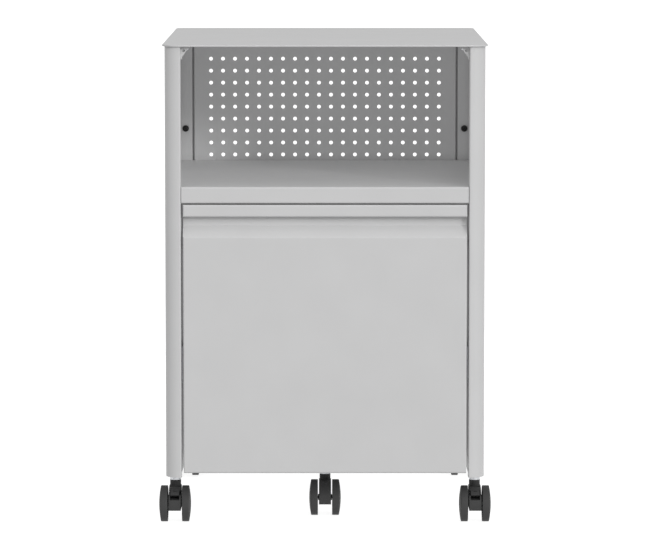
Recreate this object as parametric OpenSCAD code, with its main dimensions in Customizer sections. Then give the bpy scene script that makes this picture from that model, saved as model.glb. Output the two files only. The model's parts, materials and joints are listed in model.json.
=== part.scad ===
// Mobile stand in folded sheet steel: an open compartment over one file drawer, on five
// twin-wheel casters. The origin is on the floor under the middle, and the front faces -Y.

/* [Cabinet] */
// Height from the floor to the top surface
height = 596; // [570:1:640]
// Width over the sides
body_w = 394; // [390:1:430]
// Depth of the sides
body_d = 500; // [490:1:560]
// Height of the sides' lower edge above the floor
skirt_z = 61.5; // [60:0.5:64]
// Thickness of each hollow side
side_t = 20; // [20:1:24]
// Radius of the outer front corner of each side
post_r = 18; // [12:1:19]
// Thickness of the folded sheet
sheet_t = 1; // [0.8:0.1:1.2]
// Bend radius at the middle of the sheet
fold_r = 1.5; // [1.2:0.1:2]

/* [Top] */
// Thickness of the top plate
top_t = 2; // [1.5:0.5:4]
// Overhang of the top past the body, all round
top_overhang = 3; // [0:1:8]
// Radius of the top's front corners
top_r = 21; // [12:1:30]
// Radius of the top's rear corners
top_rear_r = 10; // [6:1:14]

/* [Compartment] */
// Height of the shelf's upper face
shelf_z = 422; // [420:1:440]
// Height of the shelf's front fold
shelf_lip = 20.4; // [20:0.2:21]
// Distance from the rear of the body to the perforated panel's face
panel_setback = 60; // [30:1:90]
// Diameter of the perforations
hole_d = 5; // [4:0.5:7]
// Distance between perforations
hole_pitch = 16; // [14:1:17]
// Columns of perforations
hole_cols = 20; // [10:1:20]
// Rows of perforations
hole_rows = 9; // [4:1:9]
// Height of the lowest row above the shelf
first_row = 7.6; // [6:0.2:12]

/* [Drawer] */
// Height of the drawer front's lower edge
front_z0 = 67; // [66:1:70]
// Height of the drawer front's upper edge
front_z1 = 400; // [398:1:400]
// Gap at each end of the drawer front
front_gap = 2.3; // [1.5:0.1:3]
// Thickness of the whole drawer front
front_t = 18; // [16:1:20]
// Height of the pull lip along the upper edge
lip_h = 15; // [12:1:20]
// Depth of the finger recess under the lip
recess_d = 14; // [10:1:14]
// Height of the recess's upright wall
recess_wall = 11.7; // [8:0.1:16]
// Height of the drawer box's upper edge
box_z1 = 340; // [280:1:345]
// How far the drawer pulls out
drawer_travel = 380; // [370:5:380]

/* [Slides] */
// Height of a slide
slide_h = 45.7; // [45:0.1:46]
// Thickness of a slide across its three members
slide_t = 12.7; // [12.7:0.1:13]
// Height of the slides' middle line
slide_z = 200; // [120:1:280]
// Diameter of the slide balls
ball_d = 3.7; // [3.6:0.1:3.7]
// Balls in each row
ball_count = 8; // [4:1:10]

/* [Casters] */
// Diameter of the wheels
wheel_d = 45; // [44:1:46]
// Width over a pair of wheels
caster_w = 39.7; // [38:0.1:42]
// Thickness of one wheel at its middle
wheel_t = 10.9; // [10:0.1:12]
// Distance from the swivel axis to the axle
trail = 18; // [17:0.5:19]
// Width of the housing between the wheels
tongue_w = 15.2; // [14:0.1:15.6]
// Diameter of the stem's collar
collar_d = 13.8; // [13:0.1:14]
// Distance from the front of the body to the front stems
stem_setback = 62; // [50:1:80]
// Distance from the front of the body to the drawer caster's stem
drawer_stem_setback = 111; // [100:1:130]

/* [Hidden] */
$fn = 48;
steel_grey = [0.78, 0.78, 0.78];
zinc_grey = [0.66, 0.67, 0.69];
black = [0.09, 0.09, 0.09];

// Cabinet planes
side_x = body_w / 2;
open_x = side_x - side_t;
front_y = -body_d / 2;
rear_y = body_d / 2;
top_z = height - top_t;
edge_r = 2;
flange = 14;
seam = 0.4;
lap = 12;
channel_t = 2.5;
channel_h = 26;
boss_d = 14;

// Perforated panel
panel_y = rear_y - panel_setback;
panel_x = open_x - 2.3;
panel_flange = 15;
panel_return = 6;
grid_x = (hole_cols - 1) * hole_pitch / 2;

// Corner gussets and the nuts under the top
gusset_w = 11;
gusset_h = 16;
gusset_d = 14;
gusset_t = 1.5;
gusset_y = -front_y - 8;
stud_d = 4;
stud_x = open_x - 6;
stud_y = gusset_y - 7.5;
nut_h = 3.2;
nut_d = 8.1;

// Black screws on the rear columns
cap_x = open_x + 9;
cap_z = shelf_z + 42.5;
cap_d = 8.6;
cap_h = 2.4;
cap_rise = 1.2;
cap_shank_d = 4.8;
cap_shank_l = 7;

// Drawer planes
front_x = open_x - front_gap;
front_back_y = front_y + front_t;
recess_y = front_y + recess_d;
lip_z = front_z1 - lip_h;
box_x = open_x - slide_t;
box_z0 = skirt_z + 12;
box_y0 = front_back_y + 0.5;
box_y1 = rear_y - 63;
box_back_y = box_y1 - 11;
rail_h = 12;

// Screw places in the rear of the cabinet and behind the drawer front
screw_d = 4;
screw_xs = [-120, 0, 120];
rear_screw_l = 6;
deck_screw_l = 5;
front_screw_l = 4;
rail_screw_z = skirt_z + 14;
shelf_screw_z = shelf_z - 7;
panel_screw_y = panel_y + 9;
front_screw_x = box_x - 7.5;
front_screw_zs = [box_z0 + 30, slide_z, box_z1 - 30];

// Slide sections, measured from the wall inwards
slide_len = drawer_travel + 20;
race_t = 1.2;
slide_y0 = front_back_y + 2;
middle_len = slide_len - 14;
inner_len = slide_len - 10;
cage_len = 150;
outer_v = slide_h / 2 - race_t / 2;
outer_ball_w = 5.8;
ball_step = race_t / 2 + 0.075 + ball_d / 2;
outer_ball_v = outer_v - ball_step;
middle_v = outer_ball_v - ball_step;
inner_ball_w = 7.6;
inner_ball_v = middle_v - ball_step;
inner_v = inner_ball_v - ball_step;
cage_t = 0.6;

// Caster, measured from its swivel axis on the floor
axle_z = wheel_d / 2;
axle_r = 2;
wheel_in = caster_w / 2 - wheel_t;
axle_depth = 8.5;
rim_t = 4;
hollow_d = 4;
wheel_hub_r = 6.5;
boss_r = 3.8;
boss_gap = 0.2;
dome_rise = 2.4;
dome_r = (pow(wheel_d / 2, 2) + pow(dome_rise, 2)) / (2 * dome_rise);
tongue_r = 20;
tongue_z0 = 16;
neck_z = 49.9;
collar_z = 50.2;
pin_r = 4;
pin_z = 35.4;
thread_r = 5;
thread_h = 16;
fit = 0.05;

// Brake lever, measured like the caster
lever_y = -12;
lever_z = 36.2;
lever_hub_r = 3;
lever_pin_r = 1.5;
lever_in_r = 18;
lever_out_r = 20.6;
pocket_x = 5.9;
lever_gap = 0.4;
cheek_gap = 0.3;

// Stem places on the floor
front_left = [-side_x + side_t / 2, front_y + stem_setback, 0];
front_right = [side_x - side_t / 2, front_y + stem_setback, 0];
rear_left = [-side_x + side_t / 2, rear_y - stem_setback, 0];
rear_right = [side_x - side_t / 2, rear_y - stem_setback, 0];
drawer_caster = [0, front_y + drawer_stem_setback, 0];

// ---- Folded sheet -------------------------------------------------------------------------

function unit(v) = v / norm(v);
function left_of(d) = [-d.y, d.x];
function turned(v, a) = [v.x * cos(a) - v.y * sin(a), v.x * sin(a) + v.y * cos(a)];

// Points and outward directions round one bend of the sheet's middle line, at corner b
function bend(a, b, c, r, steps = 4) =
    let (d1 = unit(b - a), d2 = unit(c - b))
    let (angle = atan2(d1.x * d2.y - d1.y * d2.x, d1 * d2), s = sign(angle))
    let (start = b - d1 * r * tan(abs(angle) / 2), centre = start + left_of(d1) * r * s)
    [for (k = [0 : steps]) let (m = turned(left_of(d1), angle * k / steps)) [centre - m * r * s, m]];

// The whole middle line: its two ends and every bend between them
function fold_line(path, r) =
    let (last = len(path) - 1)
    concat(
        [[path[0], left_of(unit(path[1] - path[0]))]],
        [for (i = [1 : last - 1]) each bend(path[i - 1], path[i], path[i + 1], r)],
        [[path[last], left_of(unit(path[last] - path[last - 1]))]]
    );

// Cross-section of a sheet folded along a path
module fold(path, t = sheet_t, r = fold_r) {
    line = fold_line(path, r);
    polygon(concat(
        [for (p = line) p[0] + p[1] * t / 2],
        [for (i = [len(line) - 1 : -1 : 0]) line[i][0] - line[i][1] * t / 2]
    ));
}

// Extrusions along each axis: the outline is drawn in [y, z], [x, z] or [x, y]
module along_x(x0, x1) {
    translate([x0, 0, 0]) rotate([90, 0, 90]) linear_extrude(x1 - x0) children();
}

module along_y(y0, y1) {
    translate([0, y1, 0]) rotate([90, 0, 0]) linear_extrude(y1 - y0) children();
}

module along_z(z0, z1) {
    translate([0, 0, z0]) linear_extrude(z1 - z0) children();
}

// Plate between two opposite corners
module plate(low, high) {
    translate(low) cube(high - low);
}

// Upright rectangle with its own radius at each corner, anticlockwise from the lower left
module rounded(x0, x1, y0, y1, r) {
    polygon([
        [x0 + r[0], y0], [x1 - r[1], y0], [x1, y0 + r[1]], [x1, y1 - r[2]],
        [x1 - r[2], y1], [x0 + r[3], y1], [x0, y1 - r[3]], [x0, y0 + r[0]]
    ]);
    corners = [[x0, y0, 1, 1], [x1, y0, -1, 1], [x1, y1, -1, -1], [x0, y1, 1, -1]];
    for (i = [0 : 3]) translate([corners[i][0], corners[i][1]])
        scale([corners[i][2], corners[i][3]]) quarter_disc(r[i]);
}

// Quarter of a disc that fills a square corner at the origin
module quarter_disc(r) {
    intersection() {
        translate([r, r]) circle(r = r);
        square(r);
    }
}

// Screw holes: through the rear sheets, through the shelf, and behind the drawer front
module rear_holes(z) {
    for (x = screw_xs)
        translate([x, rear_y - 10, z]) rotate([-90, 0, 0]) cylinder(d = screw_d, h = 20);
}

module deck_holes() {
    for (x = screw_xs)
        translate([x, panel_screw_y, shelf_z - 10]) cylinder(d = screw_d, h = 20);
}

module front_holes() {
    both_sides() for (z = front_screw_zs)
        translate([front_screw_x, front_back_y - 5, z]) rotate([-90, 0, 0])
            cylinder(d = screw_d, h = 10);
}

// Mirrored copies on both sides, and in all four corners
module both_sides() {
    children();
    mirror([1, 0, 0]) children();
}

module four_corners() {
    both_sides() {
        children();
        mirror([0, 1, 0]) children();
    }
}

// ---- Cabinet ------------------------------------------------------------------------------

module top_panel() {
    x = side_x + top_overhang;
    y = rear_y + top_overhang;
    color(steel_grey) {
        along_z(top_z, height) rounded(-x, x, -y, y, [top_r, top_r, top_rear_r, top_rear_r]);
        four_corners() translate([stud_x, stud_y, top_z - 6]) cylinder(d = stud_d, h = 6);
    }
}

// Plan of one hollow side, drawn for the left
module side_plan(inset) {
    small = edge_r - inset;
    rounded(-side_x + inset, -open_x - inset, front_y + inset, rear_y - inset,
            [post_r - inset, small, small, small]);
}

module side_skin() {
    color(steel_grey) along_z(skirt_z, top_z) difference() {
        side_plan(0);
        side_plan(sheet_t);
        translate([-open_x - 2 * sheet_t, front_y + flange])
            square([3 * sheet_t, body_d - 2 * flange]);
    }
}

// Inner sheet of one side: it closes the drawer bay, and above the shelf it closes only the
// rear column, whose front face lines up with the perforated panel
module inner_liner() {
    y = rear_y - flange;
    deck = shelf_z - sheet_t;
    color(steel_grey) difference() {
        union() {
            plate([-open_x - sheet_t, -y + seam, skirt_z + 4], [-open_x, panel_y, deck]);
            plate([-open_x - sheet_t, panel_y, skirt_z + 4], [-open_x, y - seam, top_z]);
            plate([-side_x + sheet_t, panel_y, deck], [-open_x, panel_y + sheet_t, top_z]);
            plate([-open_x - 2 * sheet_t, -y - 4 - lap / 2, skirt_z + 4],
                  [-open_x - sheet_t, -y - 4 + lap / 2, deck]);
            plate([-open_x - 2 * sheet_t, y + 4 - lap / 2, skirt_z + 4],
                  [-open_x - sheet_t, y + 4 + lap / 2, top_z]);
        }
        translate([-cap_x, panel_y - 5, cap_z]) rotate([-90, 0, 0])
            cylinder(d = cap_shank_d + 0.4, h = 10);
    }
}

module shelf() {
    x = open_x - 0.5;
    lip_y = front_y + 0.5;
    z = shelf_z - sheet_t / 2;
    low = shelf_z - shelf_lip + sheet_t / 2;
    back = rear_y - 1.5 * sheet_t;
    color(steel_grey) difference() {
        union() {
            along_x(-x, x) fold([
                [back, z - 12], [back, z], [lip_y + sheet_t / 2, z],
                [lip_y + sheet_t / 2, low], [lip_y + 16, low]
            ]);
            both_sides() plate([x - 0.5, front_y + 20, low + 4], [open_x, rear_y - 20, z]);
            both_sides() plate([x - 1, front_y + post_r, shelf_z - sheet_t],
                               [side_x - sheet_t, panel_y, shelf_z]);
        }
        rear_holes(shelf_screw_z);
        deck_holes();
    }
}

module perforated_back_panel() {
    x = panel_x - sheet_t / 2;
    y = panel_y + sheet_t / 2;
    inner = panel_x - 5;
    color(steel_grey) {
        along_y(panel_y, panel_y + sheet_t) difference() {
            translate([-inner, shelf_z]) square([2 * inner, top_z - shelf_z]);
            for (i = [0 : hole_cols - 1], j = [0 : hole_rows - 1])
                translate([i * hole_pitch - grid_x, shelf_z + first_row + j * hole_pitch])
                    circle(d = hole_d, $fn = 24);
        }
        both_sides() along_z(shelf_z, top_z)
            fold([[open_x, y + panel_return], [x, y + panel_return], [x, y], [inner, y]],
                 sheet_t, 1.1);
        for (z = [shelf_z, top_z - sheet_t]) difference() {
            plate([-inner, panel_y + sheet_t / 2, z], [inner, panel_y + panel_flange, z + sheet_t]);
            deck_holes();
        }
    }
}

module lower_back_panel() {
    x = open_x - seam - sheet_t / 2;
    y = rear_y - sheet_t / 2;
    color(steel_grey) difference() {
        union() {
            along_z(skirt_z + 28, shelf_z - 16) fold([[-x, y - 12], [-x, y], [x, y], [x, y - 12]]);
            plate([-x + 2, y - sheet_t / 2, skirt_z + 3], [x - 2, rear_y, shelf_z - 1]);
        }
        rear_holes(shelf_screw_z);
        rear_holes(rail_screw_z);
    }
}

module rear_bottom_rail() {
    y0 = rear_y - 23.5;
    y1 = rear_y - sheet_t - 0.75;
    z = skirt_z + 3.5;
    color(steel_grey) difference() {
        along_x(-open_x, open_x) fold([[y0, z + 22], [y0, z], [y1, z], [y1, z + 22]], 1.5, 2);
        rear_holes(rail_screw_z);
    }
}

module caster_channel() {
    x0 = -side_x + sheet_t;
    x1 = -open_x - 2 * sheet_t;
    y1 = rear_y - 2;
    y0 = front_y + post_r + 2;
    color(steel_grey) difference() {
        union() {
            along_z(skirt_z, skirt_z + channel_t) side_plan(sheet_t);
            plate([x0, y0, skirt_z], [x0 + channel_t, y1, skirt_z + channel_h]);
            plate([x1 - channel_t, y0, skirt_z], [x1, y1, skirt_z + channel_h]);
            for (p = [front_left, rear_left])
                translate(p + [0, 0, skirt_z]) cylinder(d = boss_d, h = thread_h);
        }
        for (p = [front_left, rear_left])
            translate(p + [0, 0, skirt_z - 1]) cylinder(r = thread_r, h = thread_h + 2);
    }
}

module corner_gusset() {
    x = open_x;
    y = gusset_y;
    color(steel_grey) difference() {
        union() {
            along_y(y - gusset_t, y) difference() {
                polygon([[x, top_z], [x - gusset_w, top_z], [x, top_z - gusset_h]]);
                translate([x - 4, top_z - 5.5]) circle(d = 3.4);
            }
            plate([x - gusset_t, y - gusset_d, top_z - gusset_h], [x, y, top_z]);
            plate([x - gusset_w, y - gusset_d, top_z - gusset_t], [x, y, top_z]);
        }
        translate([stud_x, stud_y, top_z - 3]) cylinder(d = stud_d + 0.3, h = 4);
    }
}

module corner_gussets() {
    four_corners() corner_gusset();
}

module top_nuts() {
    color(zinc_grey) four_corners() translate([stud_x, stud_y, top_z - gusset_t - nut_h])
        difference() {
            cylinder(d = nut_d, h = nut_h, $fn = 6);
            translate([0, 0, -1]) cylinder(d = stud_d, h = nut_h + 2);
        }
}

// Screw with a washer and a domed head, head up, seated on z = 0
module dome_screw(head_d, head_h, rise, shank_d, shank_l) {
    r = (pow(head_d / 2, 2) + pow(rise, 2)) / (2 * rise);
    cylinder(d = head_d - 1, h = 1);
    translate([0, 0, 1]) cylinder(d = head_d, h = head_h - 1);
    intersection() {
        translate([0, 0, head_h - 0.01]) cylinder(d = head_d, h = rise + 0.01);
        translate([0, 0, head_h + rise - r]) sphere(r = r);
    }
    translate([0, 0, -shank_l]) cylinder(d = shank_d, h = shank_l);
}

module wall_cap_screws() {
    color(black) both_sides() translate([-cap_x, panel_y, cap_z]) rotate([90, 0, 0])
        dome_screw(cap_d, cap_h, cap_rise, cap_shank_d, cap_shank_l);
}

// Pan-head screw, head up, seated on z = 0
module pan_screw(d, l) {
    cylinder(d = 2 * d, h = 0.6 * d);
    translate([0, 0, -l]) cylinder(d = d, h = l);
}

module back_panel_screws() {
    color(zinc_grey) for (x = screw_xs) {
        for (z = [rail_screw_z, shelf_screw_z])
            translate([x, rear_y, z]) rotate([-90, 0, 0]) pan_screw(screw_d, rear_screw_l);
        translate([x, panel_screw_y, shelf_z + sheet_t]) pan_screw(screw_d, deck_screw_l);
    }
}

// ---- Slides -------------------------------------------------------------------------------

// One slide member: its section is drawn from the left wall inwards and about the middle line
module slide_member(y0, length) {
    translate([-open_x, 0, slide_z]) along_y(y0, y0 + length) children();
}

module slide_outer() {
    v = outer_v;
    w = race_t / 2;
    color(zinc_grey) slide_member(slide_y0, slide_len)
        fold([[9, v - 3.8], [9, v], [w, v], [w, -v], [9, -v], [9, -v + 3.8]], race_t, 1.2);
}

module slide_middle() {
    v = middle_v;
    color(zinc_grey) slide_member(slide_y0 + 2, middle_len)
        fold([[10.2, v - 2.2], [10.2, v], [3.2, v], [3.2, -v], [10.2, -v], [10.2, -v + 2.2]],
             race_t, 1.1);
}

module slide_inner() {
    v = inner_v;
    w = slide_t - race_t / 2;
    color(zinc_grey) slide_member(slide_y0, inner_len)
        fold([[5.8, v], [w, v], [w, -v], [5.8, -v]], race_t, 1.2);
}

module slide_end_stops() {
    color(black) both_sides() translate([-open_x, slide_y0 + inner_len + 1.5, slide_z])
        plate([race_t, 0, -8], [8, 6, 8]);
}

// Cage with its balls: the strips at +v and -v hold one row each
module ball_cage(y0, w, web_w, v) {
    pitch = cage_len / ball_count;
    places = [for (s = [-1, 1], k = [0 : ball_count - 1]) [w, y0 + (k + 0.5) * pitch, s * v]];
    color(zinc_grey) translate([-open_x, 0, slide_z]) {
        difference() {
            along_y(y0, y0 + cage_len)
                fold([[w + 1.6, v], [web_w, v], [web_w, -v], [w + 1.6, -v]], cage_t, 0.6);
            for (p = places) translate(p - [0, 0, 1]) cylinder(d = ball_d + 0.04, h = 2);
        }
        for (p = places) translate(p) sphere(d = ball_d, $fn = 24);
    }
}

module outer_ball_cages() {
    both_sides() ball_cage(slide_y0 + 110, outer_ball_w, 1.9, outer_ball_v);
}

module inner_ball_cages() {
    both_sides() ball_cage(slide_y0 + 125, inner_ball_w, 4.6, inner_ball_v);
}

// ---- Drawer -------------------------------------------------------------------------------

// Middle line of the front sheet, from the upper flange down to the lower one
function front_path(t) = [
    [front_back_y, front_z1 - t], [front_y + t, front_z1 - t], [front_y + t, lip_z + t],
    [recess_y + t, lip_z + t], [recess_y + t, lip_z - recess_wall],
    [front_y + t, lip_z - recess_wall - recess_d], [front_y + t, front_z0 + t],
    [front_back_y, front_z0 + t]
];

// Solid side profile of the front, which its two end plates follow
module front_profile() {
    line = fold_line(front_path(sheet_t / 2), fold_r);
    polygon([for (p = line) p[0] - p[1] * sheet_t / 2]);
}

module drawer_front_skin() {
    color(steel_grey) intersection() {
        union() {
            along_x(-front_x, front_x) fold(front_path(sheet_t / 2));
            both_sides() along_x(front_x - sheet_t, front_x) front_profile();
        }
        along_z(front_z0 - 1, front_z1 + 1)
            rounded(-front_x, front_x, front_y, front_back_y + 1, [edge_r, edge_r, 0.1, 0.1]);
    }
}

module drawer_front_liner() {
    x = front_x - sheet_t;
    y = front_back_y - sheet_t;
    z0 = front_z0 + sheet_t + 0.2;
    low_top = lip_z - recess_wall - recess_d - 6;
    color(steel_grey) difference() {
        union() {
            plate([-x, y, z0], [x, front_back_y, front_z1 - sheet_t - 0.2]);
            both_sides() plate([x - sheet_t, y - 10, z0], [x, y + 0.5, low_top]);
        }
        front_holes();
    }
}

module drawer_side() {
    x = -box_x + sheet_t / 2;
    color(steel_grey) difference() {
        union() {
            along_y(box_y0, box_y1) fold([
                [x + 10, box_z1 - sheet_t / 2], [x, box_z1 - sheet_t / 2],
                [x, box_z0 + sheet_t / 2], [x + 9, box_z0 + sheet_t / 2]
            ]);
            plate([-box_x + sheet_t / 2, front_back_y, box_z0 + 8],
                  [-box_x + 13, front_back_y + sheet_t, box_z1 - 10]);
        }
        front_holes();
    }
}

module drawer_back() {
    x = box_x - sheet_t * 1.5;
    y = box_back_y + sheet_t / 2;
    color(steel_grey) along_z(box_z0 + 2 * sheet_t, box_z1 - 2 * sheet_t - 0.2)
        fold([[-x, y + 10], [-x, y], [x, y], [x, y + 10]]);
}

module drawer_bottom() {
    x = box_x - sheet_t - 1.2;
    color(steel_grey) plate([-x, box_y0 + 0.6, box_z0 + sheet_t],
                            [x, box_back_y + 9, box_z0 + 2 * sheet_t]);
}

module hanging_file_rails() {
    z = box_z1 + 0.75;
    color(zinc_grey) both_sides() along_y(box_y0 + 6, box_back_y)
        fold([[-box_x + 3, z], [-box_x + 9.6, z], [-box_x + 9.6, z + rail_h]], 1.5, 1.5);
}

module drawer_caster_bracket() {
    t = channel_t;
    low = skirt_z + t / 2;
    high = box_z0 + sheet_t - t / 2;
    y = drawer_caster.y;
    color(steel_grey) difference() {
        union() {
            along_y(y - 45, y + 45)
                fold([[-45, high], [-25, high], [-25, low], [25, low], [25, high], [45, high]],
                     t, t);
            translate([0, y, skirt_z + t / 2]) cylinder(d = boss_d, h = thread_h - 6 - t / 2);
        }
        translate([0, y, skirt_z - 1]) cylinder(r = thread_r, h = thread_h);
    }
}

module drawer_front_screws() {
    color(zinc_grey) both_sides() for (z = front_screw_zs)
        translate([front_screw_x, front_back_y + sheet_t, z]) rotate([-90, 0, 0])
            pan_screw(screw_d, front_screw_l);
}

// ---- Casters ------------------------------------------------------------------------------

module at_axle() {
    translate([0, -trail, axle_z]) rotate([0, 90, 0]) children();
}

// Stem: threaded rod, collar and the pin that the housing swivels on
module caster_stem(rod_h) {
    color(zinc_grey) {
        translate([0, 0, pin_z]) cylinder(r = pin_r, h = collar_z - pin_z);
        translate([0, 0, collar_z]) cylinder(d = collar_d, h = skirt_z - collar_z);
        translate([0, 0, skirt_z]) cylinder(r = thread_r, h = rod_h);
    }
}

// Side outline of the housing, in [y, z]
module tongue_outline() {
    top = axle_z + tongue_r;
    back = collar_d / 2;
    difference() {
        union() {
            translate([-trail, axle_z]) circle(r = tongue_r);
            polygon([[-trail, top], [back, top], [back, 35], [2, 26], [-2, 16], [-trail, 16]]);
        }
        translate([-trail - 30, 0]) square([60, tongue_z0]);
    }
}

module housing_blank() {
    along_x(-tongue_w / 2, tongue_w / 2) tongue_outline();
    translate([0, 0, 35]) cylinder(d = collar_d, h = neck_z - 35);
    at_axle() translate([0, 0, boss_gap - wheel_in])
        cylinder(r = boss_r, h = 2 * (wheel_in - boss_gap));
}

module housing_bores() {
    translate([0, 0, 35]) cylinder(r = pin_r + fit, h = 20);
    at_axle() translate([0, 0, -caster_w / 2]) cylinder(r = axle_r, h = caster_w);
}

// Room for the brake lever: a pocket in the middle and lower cheeks beside it
module lever_room() {
    along_x(-pocket_x, pocket_x)
        polygon([[-8, 46], [-8, 32.6], [-20, 30.4], [-40, 29], [-40, 46]]);
    along_x(-tongue_w, tongue_w)
        polygon([[-8, 46], [-8, 39.4], [-18, 38], [-27, 35], [-40, 34.6], [-40, 46]]);
    translate([0, lever_y, lever_z]) rotate([0, 90, 0]) translate([0, 0, -tongue_w])
        cylinder(r = lever_pin_r + fit, h = 2 * tongue_w);
}

module caster_housing() {
    color(black) difference() {
        housing_blank();
        housing_bores();
    }
}

module braked_housing() {
    color(black) difference() {
        housing_blank();
        housing_bores();
        lever_room();
    }
}

module caster_axle() {
    half = wheel_in + axle_depth - 0.6;
    color(zinc_grey) at_axle() translate([0, 0, -half]) cylinder(r = axle_r, h = 2 * half);
}

// Wheel with a domed outer face and a hollow inner one, on the +X side
module right_wheel() {
    color(black) at_axle() difference() {
        intersection() {
            translate([0, 0, wheel_in]) cylinder(r = wheel_d / 2, h = wheel_t, $fn = 96);
            translate([0, 0, caster_w / 2 - dome_r]) sphere(r = dome_r, $fn = 96);
        }
        translate([0, 0, wheel_in - 1]) difference() {
            cylinder(r = wheel_d / 2 - rim_t, h = hollow_d + 1, $fn = 96);
            cylinder(r = wheel_hub_r, h = hollow_d + 1);
        }
        translate([0, 0, wheel_in - 1]) cylinder(r = axle_r + fit, h = axle_depth + 1);
    }
}

module left_wheel() {
    mirror([1, 0, 0]) right_wheel();
}

// Curved pedal over the top of the housing, between two angles above the front
module lever_band(a0, a1, half_w) {
    steps = 6;
    angles = [for (k = [0 : steps]) a0 + (a1 - a0) * k / steps];
    function at(r, a) = [-trail - r * cos(a), axle_z + r * sin(a)];
    along_x(-half_w, half_w) polygon(concat(
        [for (a = angles) at(lever_out_r, a)],
        [for (k = [steps : -1 : 0]) at(lever_in_r, angles[k])]
    ));
}

module brake_lever() {
    narrow = pocket_x - lever_gap;
    wide = tongue_w / 2 - cheek_gap;
    slot_w = 4.6;
    slot_h = 1.2;
    color(black) difference() {
        union() {
            lever_band(38, 66, narrow);
            lever_band(62, 104, wide);
            along_x(-narrow, narrow)
                polygon([[-18, 41], [-13, 42], [-9.4, 38], [-12, 33.6], [-17, 38]]);
            translate([-narrow, lever_y, lever_z]) rotate([0, 90, 0])
                cylinder(r = lever_hub_r, h = 2 * narrow);
            translate([-wide, lever_y, lever_z]) rotate([0, 90, 0])
                cylinder(r = lever_pin_r, h = 2 * wide);
        }
        translate([-slot_w / 2, -trail, axle_z]) rotate([-56, 0, 0])
            translate([0, -24, -slot_h / 2]) cube([slot_w, 8, slot_h]);
    }
}

// ---- Assembly -----------------------------------------------------------------------------

top_panel();
side_skin();  // left_side_skin
mirror([1, 0, 0]) side_skin();  // right_side_skin
inner_liner();  // left_inner_liner
mirror([1, 0, 0]) inner_liner();  // right_inner_liner
shelf();
perforated_back_panel();
lower_back_panel();
rear_bottom_rail();
caster_channel();  // left_caster_channel
mirror([1, 0, 0]) caster_channel();  // right_caster_channel
corner_gussets();
top_nuts();
wall_cap_screws();
back_panel_screws();
slide_outer();  // left_slide_outer
mirror([1, 0, 0]) slide_outer();  // right_slide_outer
slide_end_stops();

slide_middle();  // left_slide_middle
mirror([1, 0, 0]) slide_middle();  // right_slide_middle
outer_ball_cages();
inner_ball_cages();

drawer_front_skin();
drawer_front_liner();
drawer_side();  // drawer_left_side
mirror([1, 0, 0]) drawer_side();  // drawer_right_side
drawer_back();
drawer_bottom();
hanging_file_rails();
slide_inner();  // left_slide_inner
mirror([1, 0, 0]) slide_inner();  // right_slide_inner
drawer_caster_bracket();
drawer_front_screws();

translate(front_left) caster_stem(thread_h);  // front_left_stem
translate(front_left) braked_housing();  // front_left_housing
translate(front_left) caster_axle();  // front_left_axle
translate(front_left) left_wheel();  // front_left_wheel_a
translate(front_left) right_wheel();  // front_left_wheel_b
translate(front_left) brake_lever();  // front_left_brake_lever

translate(front_right) caster_stem(thread_h);  // front_right_stem
translate(front_right) braked_housing();  // front_right_housing
translate(front_right) caster_axle();  // front_right_axle
translate(front_right) left_wheel();  // front_right_wheel_a
translate(front_right) right_wheel();  // front_right_wheel_b
translate(front_right) brake_lever();  // front_right_brake_lever

translate(rear_left) caster_stem(thread_h);  // rear_left_stem
translate(rear_left) caster_housing();  // rear_left_housing
translate(rear_left) caster_axle();  // rear_left_axle
translate(rear_left) left_wheel();  // rear_left_wheel_a
translate(rear_left) right_wheel();  // rear_left_wheel_b

translate(rear_right) caster_stem(thread_h);  // rear_right_stem
translate(rear_right) caster_housing();  // rear_right_housing
translate(rear_right) caster_axle();  // rear_right_axle
translate(rear_right) left_wheel();  // rear_right_wheel_a
translate(rear_right) right_wheel();  // rear_right_wheel_b

translate(drawer_caster) caster_stem(thread_h - 6);  // drawer_caster_stem
translate(drawer_caster) caster_housing();  // drawer_caster_housing
translate(drawer_caster) caster_axle();  // drawer_caster_axle
translate(drawer_caster) left_wheel();  // drawer_caster_wheel_a
translate(drawer_caster) right_wheel();  // drawer_caster_wheel_b
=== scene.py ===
import json
import math

import bmesh
import bpy
from mathutils import Matrix, Vector


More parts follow.
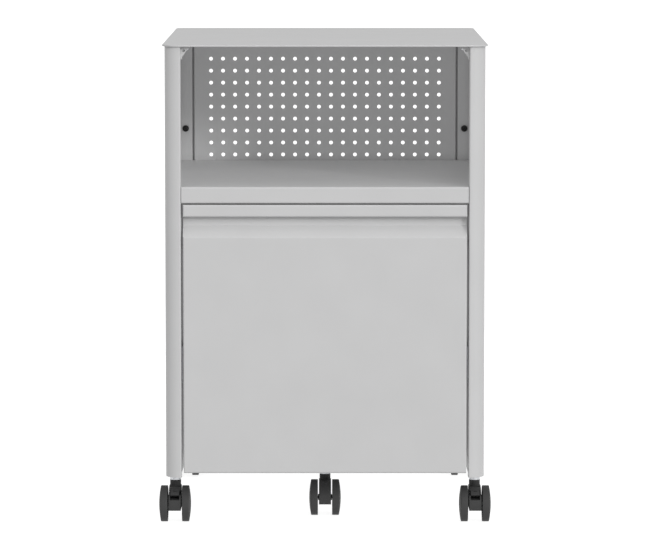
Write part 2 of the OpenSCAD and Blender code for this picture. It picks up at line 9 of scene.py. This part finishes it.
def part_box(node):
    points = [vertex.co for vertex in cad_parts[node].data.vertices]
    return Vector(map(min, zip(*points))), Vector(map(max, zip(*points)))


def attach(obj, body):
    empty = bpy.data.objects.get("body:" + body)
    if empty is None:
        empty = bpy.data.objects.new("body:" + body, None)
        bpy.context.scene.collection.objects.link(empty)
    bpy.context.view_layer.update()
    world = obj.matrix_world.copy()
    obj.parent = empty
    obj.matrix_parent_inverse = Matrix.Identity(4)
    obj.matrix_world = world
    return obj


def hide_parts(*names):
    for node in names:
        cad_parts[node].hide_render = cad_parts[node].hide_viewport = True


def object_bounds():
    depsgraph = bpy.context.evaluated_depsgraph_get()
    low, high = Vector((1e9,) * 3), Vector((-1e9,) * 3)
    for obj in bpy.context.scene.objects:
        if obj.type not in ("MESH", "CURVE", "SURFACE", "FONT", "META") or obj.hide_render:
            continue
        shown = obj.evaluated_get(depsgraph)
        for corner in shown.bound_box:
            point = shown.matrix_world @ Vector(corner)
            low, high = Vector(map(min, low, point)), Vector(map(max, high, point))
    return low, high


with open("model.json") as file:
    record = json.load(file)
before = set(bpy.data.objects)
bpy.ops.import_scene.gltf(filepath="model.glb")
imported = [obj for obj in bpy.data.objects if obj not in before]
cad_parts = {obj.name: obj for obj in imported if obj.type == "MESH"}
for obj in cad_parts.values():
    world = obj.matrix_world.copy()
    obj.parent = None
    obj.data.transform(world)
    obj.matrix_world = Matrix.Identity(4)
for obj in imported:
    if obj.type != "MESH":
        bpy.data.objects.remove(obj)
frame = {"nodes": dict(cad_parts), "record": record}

bl_info = {
    "name": "Mobile printer stand",
    "version": (1, 0, 0),
    "blender": (4, 5, 0),
    "location": "3D View > Sidebar > Stand",
    "description": "Finishes and fine detail for a sheet-steel printer stand on twin-wheel casters",
    "category": "Object",
}

CAD_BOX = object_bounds()
NODES = frame["nodes"]
SLOT_OF = {part["node"]: part["material_slot"] for part in frame["record"]["subparts"]}
BODY_OF = {
    node: body
    for body, nodes in frame["record"]["behaviour"]["bodies"].items()
    for node in nodes
}
MM = 0.001

# Screws and nuts
PAN_RADIUS = 4 * MM
PAN_HEIGHT = 2.4 * MM
PAN_ROUND = 1.1 * MM
PAN_SHANK = 2 * MM
CROSS_REACH = 1.9 * MM
CROSS_ARM = 0.42 * MM
THREAD_PITCH = 0.7 * MM
THREAD_ROOT = 0.86
DOME_SHANK = 2.4 * MM
DOME_PITCH = 0.8 * MM
DOME_LENGTH = 7 * MM
NUT_FLATS = 7 * MM
NUT_CORNERS = 8.1 * MM
NUT_BORE = 2 * MM
NUT_PITCH = 0.35 * MM
SHELF_SCREW_DROP = 7 * MM

# Wheels
AXLE_BORE = 2.05 * MM
AXLE_BORE_DEPTH = 8.5 * MM
HUB_RADIUS = 6.5 * MM
RIM_RADIUS = 18.5 * MM
RIM_DEPTH = 4 * MM
CROWN_HEIGHT = 2.4 * MM
GROOVE_RADIUS = 19.4 * MM
GROOVE_DEPTH = 0.25 * MM
CROWN_RINGS = 9
INNER_EDGE = 0.4 * MM

# Softened edges
SHARP_FROM = math.radians(35)
FLAT_WITHIN = math.radians(0.2)
WELD_WITHIN = 0.002 * MM
PEDAL_EDGE = 0.35 * MM

# Stage
FLOOR_RADIUS = 60
FLOOR_SEGMENTS = 96
FLOOR_ALBEDO = 0.4
HORIZON_BLEND = 0.15
PANEL_DISTANCE = 6.0
PANEL_AIM = Vector((0, 0, 0.3))
SENSOR_WIDTH = 36
VIEW_END = 200


# ---- Settings ---------------------------------------------------------------------------


class StandFinish(bpy.types.PropertyGroup):
    """Colours and surface of the stand's finishes"""

    coat: bpy.props.FloatVectorProperty(
        name="Powder coat", description="Colour of the painted sheet steel",
        subtype="COLOR", size=3, min=0, max=1, default=(0.56, 0.56, 0.562))
    coat_roughness: bpy.props.FloatProperty(
        name="Coat roughness", description="How matt the powder coat is",
        subtype="FACTOR", min=0, max=1, default=0.46)
    coat_grain: bpy.props.FloatProperty(
        name="Coat grain", description="Size of the orange peel in the powder coat",
        unit="LENGTH", min=0.0002, max=0.005, default=1.1 * MM)
    zinc: bpy.props.FloatVectorProperty(
        name="Zinc plate", description="Colour of the plated slides, stems and screws",
        subtype="COLOR", size=3, min=0, max=1, default=(0.56, 0.57, 0.59))
    steel: bpy.props.FloatVectorProperty(
        name="Axle steel", description="Colour of the bare steel axles",
        subtype="COLOR", size=3, min=0, max=1, default=(0.5, 0.5, 0.52))
    nylon: bpy.props.FloatVectorProperty(
        name="Black nylon", description="Colour of the caster housings and pedals",
        subtype="COLOR", size=3, min=0, max=1, default=(0.012, 0.012, 0.0125))
    tread: bpy.props.FloatVectorProperty(
        name="Wheel nylon", description="Colour of the caster wheels",
        subtype="COLOR", size=3, min=0, max=1, default=(0.014, 0.014, 0.0145))


class StandDetail(bpy.types.PropertyGroup):
    """Sizes of the fine detail"""

    plate_edge: bpy.props.FloatProperty(
        name="Plate edge", description="Radius along the edges of the top plate",
        unit="LENGTH", min=0, max=0.001, default=0.6 * MM)
    sheet_edge: bpy.props.FloatProperty(
        name="Sheet edge", description="Radius along the cut edges of the sheets",
        unit="LENGTH", min=0, max=0.0004, default=0.2 * MM)
    moulding_edge: bpy.props.FloatProperty(
        name="Moulding edge", description="Radius along the edges of the caster housings",
        unit="LENGTH", min=0, max=0.001, default=0.6 * MM)
    tread_edge: bpy.props.FloatProperty(
        name="Tread edge", description="Radius at both shoulders of a wheel",
        unit="LENGTH", min=0, max=0.002, default=0.7 * MM)


class StandStage(bpy.types.PropertyGroup):
    """Camera and lights"""

    distance: bpy.props.FloatProperty(
        name="Camera distance", description="From the front of the stand to the camera",
        unit="LENGTH", min=1, max=20, default=4.8546)
    height: bpy.props.FloatProperty(
        name="Camera height", description="From the floor to the camera",
        unit="LENGTH", min=0, max=5, default=0.82)
    tilt: bpy.props.FloatProperty(
        name="Camera tilt", description="How far the camera looks down",
        unit="ROTATION", min=-1.5, max=1.5, default=math.radians(5.96))
    lens: bpy.props.FloatProperty(
        name="Lens", description="Focal length for a sensor 36 mm wide",
        min=20, max=500, default=220.0)
    sky: bpy.props.FloatProperty(
        name="Sky", description="Brightness of the plain surroundings",
        min=0, max=5, default=0.6)
    ambient: bpy.props.FloatProperty(
        name="Ambient", description="Share of the sky that also reaches into hollows",
        min=0, max=5, default=0.155)
    ambient_reach: bpy.props.FloatProperty(
        name="Ambient reach", description="Walls nearer than this still shade the ambient light",
        unit="LENGTH", min=0, max=1, default=0.012)
    key: bpy.props.FloatProperty(
        name="Key light", description="Strength of the light from the front right",
        min=0, max=50, default=0.76)
    front: bpy.props.FloatProperty(
        name="Front panel", description="Power of the panel in front, a little to the right",
        unit="POWER", min=0, max=5000, default=72.0)
    side: bpy.props.FloatProperty(
        name="Side panel", description="Power of the high panel on the right",
        unit="POWER", min=0, max=5000, default=19.0)
    ground: bpy.props.FloatProperty(
        name="Ground", description="Brightness of the surroundings below the horizon",
        min=0, max=5, default=0.27)
    floor_glow: bpy.props.FloatProperty(
        name="Floor glow", description="Light that the pale floor gives of its own",
        min=0, max=5, default=0.85)


def finish_settings():
    return bpy.context.scene.stand_finish


def detail_settings():
    return bpy.context.scene.stand_detail


def stage_settings():
    return bpy.context.scene.stand_stage


# ---- Finishes ---------------------------------------------------------------------------


class Finish:
    """A node material in the making: coordinates are metres in the stand's own frame"""

    def __init__(self, name):
        self.material = bpy.data.materials.new(name)
        self.material.use_nodes = True
        self.tree = self.material.node_tree
        self.shader = self.tree.nodes["Principled BSDF"]
        self.place = self.tree.nodes.new("ShaderNodeTexCoord").outputs["Object"]

    def node(self, kind, **inputs):
        made = self.tree.nodes.new(kind)
        for name, value in inputs.items():
            self.feed(made.inputs[name.replace("_", " ")], value)
        return made

    def feed(self, socket, value):
        if isinstance(value, bpy.types.NodeSocket):
            self.tree.links.new(value, socket)
        else:
            socket.default_value = value

    def stretched(self, scale):
        made = self.node("ShaderNodeMapping", Vector=self.place)
        made.inputs["Scale"].default_value = scale
        return made.outputs["Vector"]

    def noise(self, size, detail=2.0, roughness=0.5, vector=None):
        made = self.node("ShaderNodeTexNoise", Vector=vector or self.place, Scale=1 / size,
                         Detail=detail, Roughness=roughness)
        return made.outputs["Fac"]

    def between(self, value, low, high):
        """Stretches the middle of a noise over the range from low to high"""
        made = self.node("ShaderNodeMapRange", Value=value)
        made.inputs["From Min"].default_value = 0.3
        made.inputs["From Max"].default_value = 0.7
        made.inputs["To Min"].default_value = low
        made.inputs["To Max"].default_value = high
        return made.outputs["Result"]

    def tinted(self, colour, value, darkest, lightest):
        """The colour times a factor that runs from darkest to lightest with the value"""
        made = self.tree.nodes.new("ShaderNodeMix")
        made.data_type = "RGBA"
        self.feed(made.inputs["Factor"], self.between(value, 0.0, 1.0))
        made.inputs["A"].default_value = [c * darkest for c in colour] + [1]
        made.inputs["B"].default_value = [min(1, c * lightest) for c in colour] + [1]
        return made.outputs["Result"]

    def bump(self, height, depth, normal=None):
        made = self.node("ShaderNodeBump", Height=height, Distance=depth, Strength=1.0)
        if normal:
            self.feed(made.inputs["Normal"], normal)
        return made.outputs["Normal"]

    def set(self, **inputs):
        for name, value in inputs.items():
            self.feed(self.shader.inputs[name.replace("_", " ")], value)
        return self.material


def powder_coat():
    """Satin paint on the sheets: fine orange peel and a faint cloudiness"""
    look = finish_settings()
    matt = look.coat_roughness
    make = Finish("powder_coat")
    peel = make.noise(look.coat_grain, 1.5, 0.4)
    cloud = make.noise(60 * MM, 3.0)
    patch = make.noise(9 * MM, 3.0)
    return make.set(
        Base_Color=make.tinted(look.coat, cloud, 0.985, 1.015),
        Roughness=make.between(patch, matt - 0.03, matt + 0.03),
        Normal=make.bump(peel, 0.02 * MM),
        Specular_IOR_Level=0.4,
    )


def zinc_plate():
    """Bright plating, drawn along the depth of the stand"""
    look = finish_settings()
    make = Finish("zinc_plate")
    spangle = make.noise(3 * MM, 4.0, 0.6)
    drawn = make.noise(0.5 * MM, 2.0, 0.5, make.stretched((1.0, 0.03, 1.0)))
    return make.set(
        Base_Color=make.tinted(look.zinc, spangle, 0.88, 1.06),
        Roughness=make.between(drawn, 0.27, 0.4),
        Normal=make.bump(drawn, 0.006 * MM),
        Metallic=1.0,
    )


def axle_steel():
    """Bare rod with fine turning marks"""
    look = finish_settings()
    make = Finish("axle_steel")
    turned = make.noise(0.3 * MM, 2.0, 0.5, make.stretched((1.0, 0.05, 0.05)))
    return make.set(
        Base_Color=make.tinted(look.steel, turned, 0.9, 1.05),
        Roughness=make.between(turned, 0.2, 0.34),
        Normal=make.bump(turned, 0.005 * MM),
        Metallic=1.0,
    )


def moulded_nylon(name, colour, grain, rough):
    """Dark moulding with a fine grain"""
    make = Finish(name)
    fine = make.noise(grain, 3.0, 0.6)
    cloud = make.noise(14 * MM, 2.0)
    return make.set(
        Base_Color=make.tinted(colour, cloud, 0.85, 1.15),
        Roughness=make.between(fine, rough - 0.05, rough + 0.05),
        Normal=make.bump(fine, 0.012 * MM),
    )


def caster_black():
    return moulded_nylon("caster_black", finish_settings().nylon, 0.5 * MM, 0.4)


def wheel_black():
    return moulded_nylon("wheel_black", finish_settings().tread, 0.9 * MM, 0.32)


def black_screw():
    """Black coating on the dome-head screws"""
    make = Finish("black_screw")
    speck = make.noise(0.4 * MM, 3.0, 0.6)
    return make.set(
        Base_Color=make.tinted((0.2, 0.2, 0.205), speck, 0.85, 1.15),
        Roughness=make.between(speck, 0.4, 0.52),
        Normal=make.bump(speck, 0.006 * MM),
        Metallic=0.0,
    )


def rubber():
    return moulded_nylon("rubber", (0.02, 0.02, 0.02), 0.4 * MM, 0.7)


FINISHES = {
    "body_grey": powder_coat,
    "zinc_steel": zinc_plate,
    "axle_steel": axle_steel,
    "black_screw": black_screw,
    "caster_black": caster_black,
    "wheel_black": wheel_black,
    "rubber": rubber,
}


def finish_of(slot):
    maker = FINISHES.get(slot, zinc_plate)
    return bpy.data.materials.get(maker.__name__) or maker()


def paint_node(name):
    """Gives a node of the frame the finish of its own slot"""
    thing = NODES[name]
    material = finish_of(SLOT_OF[name])
    if not thing.material_slots:
        thing.data.materials.append(material)
    for place in thing.material_slots:
        place.material = material
    return thing


# ---- Making meshes ----------------------------------------------------------------------


def soften(thing, width, segments=2):
    """Rounds a node's sharp edges and evens out its shading"""
    weld = thing.modifiers.new("weld", "WELD")
    weld.merge_threshold = WELD_WITHIN
    flat = thing.modifiers.new("flat", "DECIMATE")
    flat.decimate_type = "DISSOLVE"
    flat.angle_limit = FLAT_WITHIN
    edge = thing.modifiers.new("edge", "BEVEL")
    edge.width = width
    edge.segments = segments
    edge.limit_method = "ANGLE"
    edge.angle_limit = SHARP_FROM
    edge.use_clamp_overlap = True
    edge.miter_outer = "MITER_ARC"
    even = thing.modifiers.new("even", "WEIGHTED_NORMAL")
    even.keep_sharp = True
    even.weight = 100


def arc(centre, radius, start, end, steps):
    """Points on an arc in the plane, with angles in degrees"""
    turns = [math.radians(start + (end - start) * i / steps) for i in range(steps + 1)]
    return [(centre[0] + radius * math.cos(t), centre[1] + radius * math.sin(t)) for t in turns]


def lathe(mesh, profile, place, segments=96):
    """Joins rings of (outline, height) about their own Z axis, then puts them in place

    An outline is a radius, or a function that gives the radius at an angle.
    """
    rows = []
    for outline, height in profile:
        count = 1 if outline == 0 else segments
        ring = []
        for i in range(count):
            a = 2 * math.pi * i / count
            r = outline(a) if callable(outline) else outline
            point = Vector((r * math.cos(a), r * math.sin(a), height))
            ring.append(mesh.verts.new(place @ point))
        rows.append(ring)
    for a, b in zip(rows, rows[1:]):
        for i in range(segments):
            j = (i + 1) % segments
            corners = [a[i % len(a)], a[j % len(a)], b[j % len(b)], b[i % len(b)]]
            mesh.faces.new(list(dict.fromkeys(corners)))


def piece(name, mesh, node, sharp=30):
    """Turns a bmesh into a piece that stands for a node of the frame"""
    bmesh.ops.recalc_face_normals(mesh, faces=mesh.faces)
    limit = math.radians(sharp)
    for edge in mesh.edges:
        edge.smooth = edge.is_manifold and edge.calc_face_angle(0) < limit
    for face in mesh.faces:
        face.smooth = True
    data = bpy.data.meshes.new(name)
    mesh.to_mesh(data)
    mesh.free()
    thing = bpy.data.objects.new(name, data)
    bpy.context.scene.collection.objects.link(thing)
    slot = SLOT_OF[node]
    data.materials.append(finish_of(slot))
    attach(thing, BODY_OF[node])
    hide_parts(node)


# ---- Screws and nuts --------------------------------------------------------------------


def hexagon(flat):
    """Outline of a hexagon with this distance from the middle to a flat"""
    step = math.pi / 3
    return lambda angle: flat / math.cos((angle + step / 2) % step - step / 2)


def cross(reach, half_width):
    """Outline of a cross recess"""
    def at(angle):
        c, s = abs(math.cos(angle)) + 1e-9, abs(math.sin(angle)) + 1e-9
        return max(min(reach / c, half_width / s), min(half_width / c, reach / s))
    return at


def shank(radius, length, pitch=THREAD_PITCH):
    """Threaded shank below z = 0, from its tip up"""
    rows = [(0, -length), (radius * 0.7, -length)]
    z = -length + 0.4 * MM
    while z < -pitch:
        rows += [(radius, z), (radius * THREAD_ROOT, z + pitch / 2)]
        z += pitch
    return rows + [(radius, z), (radius, 0)]


def pan_head_screw(mesh, place, length):
    """Screw with an M4 shank, a rounded head and a cross recess"""
    head, tall = PAN_RADIUS, PAN_HEIGHT
    rows = shank(PAN_SHANK, length) + [(head - 0.2 * MM, 0)]
    rows += arc((head - PAN_ROUND, tall - 1.5 * MM), PAN_ROUND, 0, 62, 5)
    rows += [(2.2 * MM, tall - 0.06 * MM), (cross(CROSS_REACH, CROSS_ARM), tall)]
    rows += [(cross(1.5 * MM, 0.3 * MM), tall - 1.3 * MM), (0, tall - 1.6 * MM)]
    lathe(mesh, rows, place)


def dome_head_screw(mesh, place, length):
    """Black screw with a washer, a low dome and a hexagon socket"""
    rows = shank(DOME_SHANK, length, DOME_PITCH)
    rows += [(3.6 * MM, 0), (3.8 * MM, 0.2 * MM), (3.8 * MM, 1.0 * MM), (4.15 * MM, 1.05 * MM)]
    rows += arc((3.9 * MM, 1.45 * MM), 0.4 * MM, -60, 35, 4)
    rows += [(3.7 * MM, 2.2 * MM), (3.1 * MM, 2.75 * MM), (2.4 * MM, 3.15 * MM)]
    rows += [(hexagon(1.55 * MM), 3.35 * MM), (hexagon(1.4 * MM), 3.2 * MM)]
    rows += [(hexagon(1.35 * MM), 1.5 * MM), (0, 1.3 * MM)]
    lathe(mesh, rows, place, 72)


def hexagon_nut(mesh, place, across, bore, tall):
    """Nut seated on z = 0, with both ends chamfered and a threaded bore"""
    flat = across / 2
    edge = 0.35 * MM
    rows = [(bore + 0.25 * MM, tall), (flat * 0.97, tall), (hexagon(flat), tall - edge)]
    rows += [(hexagon(flat), edge), (flat * 0.97, 0), (bore + 0.25 * MM, 0), (bore, 0.25 * MM)]
    z = 0.25 * MM
    while z < tall - 0.6 * MM:
        rows += [(bore + 0.15 * MM, z + NUT_PITCH / 2), (bore, z + NUT_PITCH)]
        z += NUT_PITCH
    rows += [(bore, tall - 0.25 * MM), (bore + 0.25 * MM, tall)]
    lathe(mesh, rows, place, 72)


def aim(x, y, z, axis="Z", angle=0):
    """Place for a lathe: its Z axis turned about a world axis, then moved"""
    return Matrix.Translation((x, y, z)) @ Matrix.Rotation(math.radians(angle), 4, axis)


def cabinet_screws():
    """Screws through the lower back panel, and down through the rear of the shelf"""
    low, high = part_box("back_panel_screws")
    head = PAN_RADIUS
    xs = (low.x + head, 0.0, high.x - head)
    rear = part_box("lower_back_panel")[1].y
    shelf_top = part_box("shelf")[1].z
    deck_y = low.y + head
    mesh = bmesh.new()
    for x in xs:
        for z in (low.z + head, shelf_top - SHELF_SCREW_DROP):
            pan_head_screw(mesh, aim(x, rear, z, "X", -90), 6 * MM)
        pan_head_screw(mesh, aim(x, deck_y, shelf_top + 1 * MM), 5 * MM)
    piece("pan_screws_cabinet", mesh, "back_panel_screws")


def drawer_screws():
    """Screws that hold the drawer front to the drawer's sides, from inside"""
    low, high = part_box("drawer_front_screws")
    slide_low, slide_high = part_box("left_slide_outer")
    head = PAN_RADIUS
    seat = high.y - PAN_HEIGHT
    middle = (slide_low.z + slide_high.z) / 2
    mesh = bmesh.new()
    for x in (low.x + head, high.x - head):
        for z in (low.z + head, middle, high.z - head):
            pan_head_screw(mesh, aim(x, seat, z, "X", -90), 4 * MM)
    piece("pan_screws_drawer", mesh, "drawer_front_screws")


def column_screws():
    """Dome-head screws on the front faces of the rear columns"""
    low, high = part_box("wall_cap_screws")
    head = (high.z - low.z) / 2
    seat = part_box("perforated_back_panel")[0].y
    mesh = bmesh.new()
    for x in (low.x + head, high.x - head):
        dome_head_screw(mesh, aim(x, seat, (low.z + high.z) / 2, "X", 90), DOME_LENGTH)
    piece("dome_screws", mesh, "wall_cap_screws")


def stud_nuts():
    """Nuts on the studs that hold the top"""
    low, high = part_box("top_nuts")
    half_x, half_y = NUT_CORNERS / 2, NUT_FLATS / 2
    mesh = bmesh.new()
    for x in (low.x + half_x, high.x - half_x):
        for y in (low.y + half_y, high.y - half_y):
            hexagon_nut(mesh, aim(x, y, low.z), NUT_FLATS, NUT_BORE, high.z - low.z)
    piece("hexagon_nuts", mesh, "top_nuts")


# ---- Wheels -----------------------------------------------------------------------------


def wheel_profile(radius, width, edge):
    """Half section of one wheel, from the blind bore round the tread to the crown"""
    bore, hub, rim, groove, soft = AXLE_BORE, HUB_RADIUS, RIM_RADIUS, GROOVE_RADIUS, INNER_EDGE
    shoulder = width - CROWN_HEIGHT
    ball = (radius ** 2 + CROWN_HEIGHT ** 2) / (2 * CROWN_HEIGHT)
    centre = width - ball

    def on_crown(r):
        return (r, centre + math.sqrt(ball ** 2 - r ** 2))

    groove_floor = on_crown(groove)[1] - GROOVE_DEPTH
    points = [(0, AXLE_BORE_DEPTH), (bore, AXLE_BORE_DEPTH), (bore, soft), (bore + soft, 0)]
    points += [(hub - soft, 0), (hub, soft), (hub, RIM_DEPTH)]
    points += [(rim, RIM_DEPTH), (rim, soft), (rim + soft, 0)]
    points += arc((radius - edge, edge), edge, -90, 0, 4)
    points += arc((radius - edge, shoulder - edge), edge, 0, 72, 4)
    points += [on_crown(radius - edge * 0.9), on_crown(groove + 0.35 * MM)]
    points += [(groove + 0.2 * MM, groove_floor), (groove - 0.2 * MM, groove_floor)]
    points += [on_crown((groove - 0.35 * MM) * (1 - i / CROWN_RINGS)) for i in range(CROWN_RINGS)]
    points.append(on_crown(0))
    return points


def wheel(node):
    """Wheel that stands for this node: its flat inner face is towards the housing"""
    low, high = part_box(node)
    outward = 1 if node.endswith("_b") else -1
    radius = (high.z - low.z) / 2
    inner = low.x if outward > 0 else high.x
    place = aim(inner, (low.y + high.y) / 2, (low.z + high.z) / 2, "Y", 90 * outward)
    profile = wheel_profile(radius, high.x - low.x, detail_settings().tread_edge)
    mesh = bmesh.new()
    lathe(mesh, profile, place)
    piece(node.replace("wheel", "nylon_wheel"), mesh, node, 40)


# ---- Operators --------------------------------------------------------------------------


class STAND_OT_cabinet(bpy.types.Operator):
    """Powder coat and softened edges on the cabinet's sheets"""

    bl_idname = "stand.cabinet"
    bl_label = "Cabinet sheets"

    def execute(self, context):
        size = detail_settings()
        soften(paint_node("top_panel"), size.plate_edge, 3)
        for name in ("left_side_skin", "right_side_skin", "left_inner_liner", "right_inner_liner",
                     "shelf", "lower_back_panel", "rear_bottom_rail", "left_caster_channel",
                     "right_caster_channel", "corner_gussets"):
            soften(paint_node(name), size.sheet_edge)
        paint_node("perforated_back_panel")
        return {"FINISHED"}


class STAND_OT_drawer(bpy.types.Operator):
    """Powder coat and softened edges on the drawer's sheets"""

    bl_idname = "stand.drawer"
    bl_label = "Drawer sheets"

    def execute(self, context):
        size = detail_settings()
        for name in ("drawer_front_skin", "drawer_front_liner", "drawer_left_side",
                     "drawer_right_side", "drawer_back", "drawer_bottom",
                     "drawer_caster_bracket", "hanging_file_rails"):
            soften(paint_node(name), size.sheet_edge)
        return {"FINISHED"}


class STAND_OT_slides(bpy.types.Operator):
    """Zinc plate on the telescopic slides and their ball cages"""

    bl_idname = "stand.slides"
    bl_label = "Drawer slides"

    def execute(self, context):
        for name in ("left_slide_outer", "right_slide_outer", "left_slide_middle",
                     "right_slide_middle", "left_slide_inner", "right_slide_inner",
                     "outer_ball_cages", "inner_ball_cages", "slide_end_stops"):
            paint_node(name)
        return {"FINISHED"}


class STAND_OT_screws(bpy.types.Operator):
    """Screws and nuts"""

    bl_idname = "stand.screws"
    bl_label = "Screws and nuts"

    def execute(self, context):
        for make in (cabinet_screws, drawer_screws, column_screws, stud_nuts):
            make()
        return {"FINISHED"}


class STAND_OT_wheels(bpy.types.Operator):
    """Turned wheels with soft shoulders and a domed crown"""

    bl_idname = "stand.wheels"
    bl_label = "Wheels"

    def execute(self, context):
        for node in sorted(n for n in NODES if "_wheel_" in n):
            wheel(node)
        return {"FINISHED"}


class STAND_OT_caster_frames(bpy.types.Operator):
    """Caster housings, stems and axles"""

    bl_idname = "stand.caster_frames"
    bl_label = "Caster frames"

    def execute(self, context):
        size = detail_settings()
        for name in sorted(NODES):
            if name.endswith("_housing"):
                soften(paint_node(name), size.moulding_edge, 3)
            elif name.endswith(("_stem", "_axle")):
                paint_node(name)
        return {"FINISHED"}


class STAND_OT_brake_levers(bpy.types.Operator):
    """Brake pedals on the two front casters"""

    bl_idname = "stand.brake_levers"
    bl_label = "Brake pedals"

    def execute(self, context):
        for name in ("front_left_brake_lever", "front_right_brake_lever"):
            soften(paint_node(name), PEDAL_EDGE)
        return {"FINISHED"}


# ---- Stage ------------------------------------------------------------------------------


def direction(azimuth, elevation):
    """Unit vector from the stand towards a light: azimuth 0 is in front, 90 to the right"""
    a, e = math.radians(azimuth), math.radians(elevation)
    return Vector((math.sin(a) * math.cos(e), -math.cos(a) * math.cos(e), math.sin(e)))


def sun(name, azimuth, elevation, strength, spread):
    """Distant light, whose disc is this many degrees across"""
    data = bpy.data.lights.new(name, "SUN")
    data.energy = strength
    data.angle = math.radians(spread)
    lamp = bpy.data.objects.new(name, data)
    lamp.rotation_mode = "QUATERNION"
    lamp.rotation_quaternion = direction(azimuth, elevation).to_track_quat("Z", "Y")
    bpy.context.scene.collection.objects.link(lamp)


def panel(name, azimuth, elevation, power, width, height):
    """Softbox turned towards the middle of the stand"""
    data = bpy.data.lights.new(name, "AREA")
    data.shape = "RECTANGLE"
    data.size, data.size_y = width, height
    data.energy = power
    lamp = bpy.data.objects.new(name, data)
    toward = direction(azimuth, elevation)
    lamp.location = PANEL_AIM + toward * PANEL_DISTANCE
    lamp.rotation_mode = "QUATERNION"
    lamp.rotation_quaternion = toward.to_track_quat("Z", "Y")
    bpy.context.scene.collection.objects.link(lamp)


def floor_material():
    make = Finish("studio_floor")
    cloud = make.noise(0.7, 3.0)
    make.set(Base_Color=make.tinted((FLOOR_ALBEDO,) * 3, cloud, 0.99, 1.01), Roughness=0.8)
    make.shader.inputs["Emission Color"].default_value = (1, 1, 1, 1)
    make.shader.inputs["Emission Strength"].default_value = stage_settings().floor_glow
    return make.material


def studio_world():
    """Plain surroundings, a little darker below the horizon"""
    look = stage_settings()
    world = bpy.data.worlds.new("studio")
    world.use_nodes = True
    tree = world.node_tree
    place = tree.nodes.new("ShaderNodeTexCoord")
    split = tree.nodes.new("ShaderNodeSeparateXYZ")
    height = tree.nodes.new("ShaderNodeMapRange")
    height.inputs["From Min"].default_value = -HORIZON_BLEND
    height.inputs["From Max"].default_value = HORIZON_BLEND
    height.inputs["To Min"].default_value = look.ground
    height.inputs["To Max"].default_value = look.sky
    tree.links.new(place.outputs["Generated"], split.inputs["Vector"])
    tree.links.new(split.outputs["Z"], height.inputs["Value"])
    tree.links.new(height.outputs["Result"], tree.nodes["Background"].inputs["Strength"])
    tree.nodes["Background"].inputs["Color"].default_value = (1, 1, 1, 1)
    world.light_settings.ao_factor = look.ambient
    world.light_settings.distance = look.ambient_reach
    return world


def studio_floor():
    mesh = bmesh.new()
    bmesh.ops.create_circle(mesh, cap_ends=True, radius=FLOOR_RADIUS, segments=FLOOR_SEGMENTS)
    data = bpy.data.meshes.new("floor")
    mesh.to_mesh(data)
    mesh.free()
    data.materials.append(floor_material())
    floor = bpy.data.objects.new("floor", data)
    bpy.context.scene.collection.objects.link(floor)
    floor.visible_diffuse = False


def studio_camera():
    """Camera in front of the stand, looking slightly down"""
    look = stage_settings()
    low, high = CAD_BOX
    data = bpy.data.cameras.new("camera")
    data.lens = look.lens
    data.sensor_width = SENSOR_WIDTH
    data.clip_end = VIEW_END
    camera = bpy.data.objects.new("camera", data)
    camera.location = ((low.x + high.x) / 2, low.y - look.distance, look.height)
    camera.rotation_euler = (math.radians(90) - look.tilt, 0, 0)
    bpy.context.scene.collection.objects.link(camera)
    return camera


class STAND_OT_stage(bpy.types.Operator):
    """Pale floor, soft studio lights and the camera"""

    bl_idname = "stand.stage"
    bl_label = "Stage"

    def execute(self, context):
        scene = context.scene
        look = stage_settings()
        scene.view_settings.view_transform = "Standard"
        scene.view_settings.look = "None"

        scene.world = studio_world()
        scene.cycles.use_fast_gi = True
        scene.cycles.fast_gi_method = "ADD"

        studio_floor()
        sun("key", 35, 14, look.key, 8)
        panel("front", 12, 28, look.front, 2.4, 1.6)
        panel("side", 60, 50, look.side, 2.4, 2.2)
        bpy.context.scene.camera = studio_camera()
        return {"FINISHED"}


class STAND_PT_panel(bpy.types.Panel):
    """Lists every step of the stand"""

    bl_idname = "STAND_PT_panel"
    bl_label = "Printer stand"
    bl_space_type = "VIEW_3D"
    bl_region_type = "UI"
    bl_category = "Stand"

    def draw(self, context):
        for step in STEPS:
            self.layout.operator(step.bl_idname)
        for settings in ("stand_finish", "stand_detail", "stand_stage"):
            group = getattr(context.scene, settings)
            box = self.layout.box()
            for name in group.__annotations__:
                box.prop(group, name)


STEPS = (
    STAND_OT_cabinet, STAND_OT_drawer, STAND_OT_slides, STAND_OT_screws, STAND_OT_wheels,
    STAND_OT_caster_frames, STAND_OT_brake_levers, STAND_OT_stage,
)
SETTINGS = {"stand_finish": StandFinish, "stand_detail": StandDetail, "stand_stage": StandStage}


def register():
    for group in SETTINGS.values():
        bpy.utils.register_class(group)
    for name, group in SETTINGS.items():
        setattr(bpy.types.Scene, name, bpy.props.PointerProperty(type=group))
    for step in STEPS:
        bpy.utils.register_class(step)
    bpy.utils.register_class(STAND_PT_panel)


def unregister():
    bpy.utils.unregister_class(STAND_PT_panel)
    for step in reversed(STEPS):
        bpy.utils.unregister_class(step)
    for name in SETTINGS:
        delattr(bpy.types.Scene, name)
    for group in reversed(list(SETTINGS.values())):
        bpy.utils.unregister_class(group)


def main():
    register()
    for step in STEPS:
        family, name = step.bl_idname.split(".")
        getattr(getattr(bpy.ops, family), name)()


if __name__ == "__main__":
    main()
